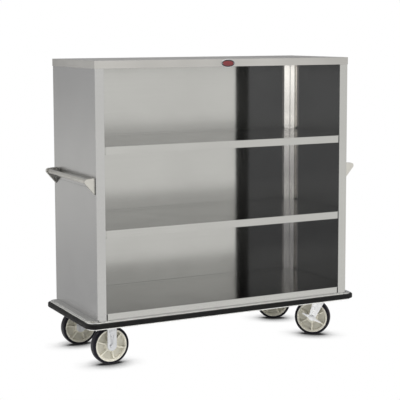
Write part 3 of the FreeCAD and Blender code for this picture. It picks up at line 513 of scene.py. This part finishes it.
def bumper_strip():
    """Vinyl strip with fine ribs along its outer face."""
    low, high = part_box("bumper_strip")
    shoulder, rib, ribs, depth = 6.5 * MM, 0.55 * MM, 6, 29 * MM
    squat, steps = 0.62, 4      # the rounded shoulder's height over its depth, and its points
    middle, half = (low.z + high.z) / 2, (high.z - low.z) / 2
    face_half = half - shoulder * squat
    section = [(depth, low.z), (shoulder, low.z)]
    for step in range(1, steps + 1):
        turn = math.radians(90 * step / steps)
        section.append((shoulder * (1 - math.sin(turn)) + rib,
                        low.z + shoulder * squat * (1 - math.cos(turn))))
    lower = list(section)
    pitch = 2 * face_half / ribs
    for index in range(ribs):
        base = middle - face_half + pitch * index
        for share, inset in ((0.18, rib), (0.34, 0.0), (0.84, 0.0), (1.0, rib)):
            section.append((inset, base + pitch * share))
    section += [(inset, 2 * middle - height) for inset, height in reversed(lower)]
    swept_ring("ribbed_bumper_strip", section, 60 * MM, "black_vinyl", "bumper_strip")


def bumper_rail():
    """Extruded channel that holds the strip, with rounded lips."""
    low, high = (corner.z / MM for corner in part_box("bumper_channel"))
    lip, flange, deep = 16.0, 6.5, 19.0
    corners = [(deep, low, 0.8), (deep, high, 1.2), (0, high, 2.0), (0, high - flange, 1.2),
               (lip, high - flange, 0), (lip, low + flange, 0), (0, low + flange, 1.2),
               (0, low, 2.0)]
    section = [(inset * MM, height * MM) for inset, height in rounded(corners)]
    swept_ring("bumper_rail", section, 46 * MM, "bumper_aluminium", "bumper_channel")


# ---------------------------------------------------------------- oval plate
def oval_dome(name, half_width, half_height, levels, finish, *nodes):
    """A stack of ovals from (inset, rise) pairs, closed front and back, on the cap's front."""
    low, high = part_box("badge")
    centre = Vector(((low.x + high.x) / 2, high.y, (low.z + high.z) / 2))
    steps = 96
    turns = [2 * math.pi * step / steps for step in range(steps)]
    shape = bmesh.new()
    rings = []
    for inset, rise in levels:
        rings.append([shape.verts.new((
            centre.x + (half_width - inset) * math.cos(turn), centre.y - rise,
            centre.z + (half_height - inset) * math.sin(turn))) for turn in turns])
    for near, far in zip(rings, rings[1:]):
        for index in range(steps):
            following = (index + 1) % steps
            shape.faces.new((near[index], near[following], far[following], far[index]))
    shape.faces.new(rings[0])
    shape.faces.new(rings[-1][::-1])
    piece(name, to_mesh(name, shape), finish, "cart", *nodes)


def oval_plate():
    """Polished rolled rim, a maroon border and a red enamel field inside it."""
    low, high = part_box("badge")
    half_width, half_height, thick = (high.x - low.x) / 2, (high.z - low.z) / 2, high.y - low.y
    oval_dome("oval_plate_rim", half_width, half_height,
              ((0, 0), (0, 0.6 * thick), (0.6 * MM, 0.95 * thick), (1.6 * MM, thick),
               (2.8 * MM, 0.85 * thick), (3.2 * MM, 0.4 * thick)), "zinc_plate", "badge")
    for name, inset, rise, finish in (("oval_plate_border", 3.1, 0.0, "maroon_enamel"),
                                      ("oval_plate_enamel", 8.5, 0.12, "red_enamel")):
        oval_dome(name, half_width - inset * MM, half_height - inset * MM,
                  ((0, 0.3 * thick), (0, (0.6 + rise) * thick), (1.0 * MM, (0.7 + rise) * thick),
                   (5 * MM, (0.76 + rise) * thick), (9 * MM, (0.8 + rise) * thick)), finish)


# ---------------------------------------------------------------- CAD nodes
# Width of the rounded edges, by finish, in millimetres.
EDGE_WIDTH = {"cabinet": 0.7, "end_panel": 0.7, "cap": 0.7, "corner": 0.5, "base_steel": 0.6,
              "handle_steel": 0.8, "bumper_aluminium": 0.8, "zinc_plate": 0.8, "bright_zinc": 0.8,
              "bearing_steel": 0.4}
SLOTS = {part["node"]: part["material_slot"] for part in frame["record"]["subparts"]}


def finish_of(node):
    """The finish of a CAD node that stays."""
    if node == "top_cap":
        return "cap"
    if node == "left_end_panel":
        return "end_panel"
    # Corner posts take the brighter copy of the stainless: painted highlight.
    if node.endswith("corner_post"):
        return "corner"
    # Zinc on the swivelled right casters takes the brighter copy: painted highlight.
    if SLOTS[node] == "zinc_plate" and node.startswith("right_"):
        return "bright_zinc"
    return "cabinet" if SLOTS[node] == "stainless" else SLOTS[node]


def dress_nodes():
    """Finishes and slightly rounded edges on every CAD node that shows."""
    for name, node in frame["nodes"].items():
        if node.hide_render:
            continue
        finish = finish_of(name)
        for material_slot in node.material_slots:
            material_slot.material = FINISH[finish]
        weld = node.modifiers.new("weld", "WELD")
        weld.merge_threshold = 0.002 * MM
        bevel = node.modifiers.new("edges", "BEVEL")
        bevel.width = EDGE_WIDTH[finish] * MM
        bevel.segments = 2
        bevel.limit_method = "ANGLE"
        bevel.angle_limit = math.radians(40)
        bevel.harden_normals = True


# ---------------------------------------------------------------- studio
# How far the floor reaches from the middle of the cart, in metres.
FLOOR_REACH = (1.75, 1.2, 1.0)
# Where it starts to thin out and where it is gone, as shares of that reach.
FLOOR_FADE = (0.62, 0.98)
# How near something has to be for the floor under it to take painted shadow, in metres.
SHADOW_REACH = 0.13
# In the painted shadow a point of the floor is darkest where little enough of the space round it is
# open, and brightest where nearly all of it is.
DARKEST, BRIGHTEST = 0.02, 1.0
CLOSED, OPEN = 0.46, 0.955
# Studio walls. Azimuth, half width and its fade; lowest and highest elevation and their fade;
# brightness. Degrees, azimuth 0 in front of the cart and 90 at its right end.
WALLS = (
    (33, 32, 12, -60, 45, 12, 0.83),
    (-68, 13, 8, -3.2, 5, 0.9, 2.0),
    (-68, 13, 8, -60, -3, 1.0, 0.17),
    (-52, 6, 2.5, -35, -12.6, 0.8, 1.9),
    (-150, 45, 15, -60, 60, 10, 0.42),
    (-150, 32, 12, -10.5, -3.5, 2.5, 0.74),
    (150, 45, 15, -60, 60, 10, 0.27),
    (95, 25, 15, -60, 60, 10, 0.45),
    (-108, 20, 15, -60, 60, 10, 1.2),
    (0, 180, 1, 50, 95, 15, 0.66),
)
# The rest of the room as (elevation, brightness): even below the first and above the second.
AMBIENT = ((-14, 0.06), (2, 0.26))
# Colours of the room where it is dim and where it is bright.
DIM_TINT, BRIGHT_TINT = (0.93, 0.94, 1.0, 1), (1.0, 0.993, 0.965, 1)
# Softboxes: azimuth and elevation in degrees, distance and size in metres, power in watts, and
# whether polished metal shows them.
SOFTBOXES = {
    "overhead": (0, 88, 3.6, 3.4, 60, True),
    "key": (-50, 48, 5.0, 2.2, 110, False),
    "fill": (40, 30, 5.0, 2.6, 70, False),
    "back": (170, 45, 5.0, 2.6, 50, False),
}


def camera():
    """At the photographer's place: in front, to the left and a little above the cap."""
    azimuth, elevation, roll = (math.radians(angle) for angle in (-26.98, 6.153, -0.174))
    distance, target = 6.651, Vector((-0.0128, 0, 1.0233))
    back = Vector((math.sin(azimuth) * math.cos(elevation),
                   -math.cos(azimuth) * math.cos(elevation), math.sin(elevation)))
    data = bpy.data.cameras.new("camera")
    data.sensor_width = 36
    data.lens = 107.07
    data.shift_y = -0.1
    made = bpy.data.objects.new("camera", data)
    bpy.context.scene.collection.objects.link(made)
    turn = back.to_track_quat("Z", "Y").to_matrix().to_4x4()
    made.matrix_world = (Matrix.Translation(target + back * distance) @ turn
                         @ Matrix.Rotation(roll, 4, "Z"))
    bpy.context.scene.camera = made


def floor():
    """White oval floor, thinning out at its rim; to the camera it glows, with soft shadows painted
    where something stands on it.
    """
    shape = bmesh.new()
    bmesh.ops.create_circle(shape, cap_ends=True, segments=96, radius=1.0)
    bmesh.ops.scale(shape, vec=FLOOR_REACH, verts=shape.verts)
    mesh = bpy.data.meshes.new("floor")
    shape.to_mesh(mesh)
    shape.free()
    made = bpy.data.objects.new("floor", mesh)
    bpy.context.scene.collection.objects.link(made)
    made.location.z = -0.5 * MM     # just clear of the tyres
    pale = Shader("white_floor")
    reach = pale.add("ShaderNodeVectorMath", operation="LENGTH")
    pale.link(pale.place([1 / size for size in FLOOR_REACH]), reach.inputs[0])
    cover = pale.spread(reach.outputs["Value"], 1.0, 0.0, *FLOOR_FADE)
    pale.set(Base_Color=(0.9, 0.9, 0.9, 1), Roughness=1.0, Specular_IOR_Level=0.0, Alpha=cover)
    # To the camera the floor is an emission, not a lit surface: painted shadow from ambient
    # occlusion, darker where something is near.
    near = pale.add("ShaderNodeAmbientOcclusion", samples=16)
    near.inputs["Distance"].default_value = SHADOW_REACH
    glow = pale.add("ShaderNodeEmission")
    pale.link(pale.spread(near.outputs["AO"], DARKEST, BRIGHTEST, CLOSED, OPEN),
              glow.inputs["Strength"])
    seen = pale.add("ShaderNodeMixShader")
    path = pale.add("ShaderNodeLightPath")
    output = next(node for node in pale.tree.nodes if node.bl_idname == "ShaderNodeOutputMaterial")
    pale.link(path.outputs["Is Camera Ray"], seen.inputs[0])
    pale.link(pale.surface.outputs[0], seen.inputs[1])
    pale.link(glow.outputs[0], seen.inputs[2])
    pale.link(seen.outputs[0], output.inputs["Surface"])
    mesh.materials.append(pale.material)


def softbox(name, azimuth, elevation, distance, size, power, mirrored):
    """A square light that looks at the cart's middle."""
    a, e = math.radians(azimuth), math.radians(elevation)
    toward = Vector((math.sin(a) * math.cos(e), -math.cos(a) * math.cos(e), math.sin(e)))
    data = bpy.data.lights.new(name, "AREA")
    data.size = size
    data.energy = power
    made = bpy.data.objects.new(name, data)
    made.location = Vector((0, 0, 0.7)) + toward * distance
    made.rotation_mode = "QUATERNION"
    made.rotation_quaternion = toward.to_track_quat("Z", "Y")
    made.visible_glossy = mirrored
    bpy.context.scene.collection.objects.link(made)


def studio():
    """Bright to the front right, dark to the front left, grey behind; white to the camera."""
    world = bpy.data.worlds.new("studio")
    bpy.context.scene.world = world
    world.use_nodes = True
    tree = world.node_tree
    tree.nodes.clear()

    def add(kind, **settings):
        made = tree.nodes.new(kind)
        for key, value in settings.items():
            setattr(made, key, value)
        return made

    def combine(operation, first, second):
        step = add("ShaderNodeMath", operation=operation)
        tree.links.new(first, step.inputs[0])
        tree.links.new(second, step.inputs[1])
        return step.outputs[0]

    def ramp(value, start, stop, low=0.0, high=1.0):
        """Smooth step of a value from low at start to high at stop."""
        mapped = add("ShaderNodeMapRange", interpolation_type="SMOOTHSTEP")
        for socket, number in zip(list(mapped.inputs)[1:5], (start, stop, low, high)):
            socket.default_value = number
        tree.links.new(value, mapped.inputs[0])
        return mapped.outputs[0]

    where = add("ShaderNodeTexCoord").outputs["Generated"]
    parts = add("ShaderNodeSeparateXYZ")
    flat = add("ShaderNodeVectorMath", operation="MULTIPLY")
    flat.inputs[1].default_value = (1, 1, 0)
    level = add("ShaderNodeVectorMath", operation="NORMALIZE")
    tree.links.new(where, parts.inputs[0])
    tree.links.new(where, flat.inputs[0])
    tree.links.new(flat.outputs[0], level.inputs[0])
    up = parts.outputs["Z"]
    (low, dim), (high, lit) = AMBIENT
    total = ramp(up, math.sin(math.radians(low)), math.sin(math.radians(high)), dim, lit)
    for azimuth, half, side_fade, lowest, highest, fade, strength in WALLS:
        toward = math.radians(azimuth)
        dot = add("ShaderNodeVectorMath", operation="DOT_PRODUCT")
        dot.inputs[1].default_value = (math.sin(toward), -math.cos(toward), 0)
        tree.links.new(level.outputs[0], dot.inputs[0])
        share = ramp(dot.outputs["Value"], math.cos(math.radians(min(180, half + side_fade))),
                     math.cos(math.radians(max(0, half - side_fade))), 0, strength)
        for edge, sign in ((lowest, 1), (highest, -1)):
            start, stop = (math.sin(math.radians(max(-90, min(90, edge - sign * reach))))
                           for reach in (fade, -fade))
            share = combine("MULTIPLY", share, ramp(up, start, stop))
        total = combine("MAXIMUM", total, share)
    walls = add("ShaderNodeBackground")
    white = add("ShaderNodeBackground")
    tint = add("ShaderNodeMix", data_type="RGBA")
    tint.inputs[MIX_FIRST].default_value = DIM_TINT
    tint.inputs[MIX_SECOND].default_value = BRIGHT_TINT
    tree.links.new(ramp(total, 0.1, 0.6), tint.inputs[MIX_SHARE])
    tree.links.new(tint.outputs[MIX_RESULT], walls.inputs["Color"])
    tree.links.new(total, walls.inputs["Strength"])
    path = add("ShaderNodeLightPath")
    choose = add("ShaderNodeMixShader")
    output = add("ShaderNodeOutputWorld")
    tree.links.new(path.outputs["Is Camera Ray"], choose.inputs[0])
    tree.links.new(walls.outputs[0], choose.inputs[1])
    tree.links.new(white.outputs[0], choose.inputs[2])
    tree.links.new(choose.outputs[0], output.inputs["Surface"])
    white.inputs["Color"].default_value = (1, 1, 1, 1)
    for name, settings in SOFTBOXES.items():
        softbox(name, *settings)
    bpy.context.scene.view_settings.view_transform = "Standard"


# ---------------------------------------------------------------- the cart
FINISH = finishes()
camera()
studio()
floor()
for caster in HEADING:
    tyre(caster)
    hub(caster)
    fork_trim(caster)
for end in ("left", "right"):
    corner_bead(end)
bumper_rail()
bumper_strip()
oval_plate()
dress_nodes()
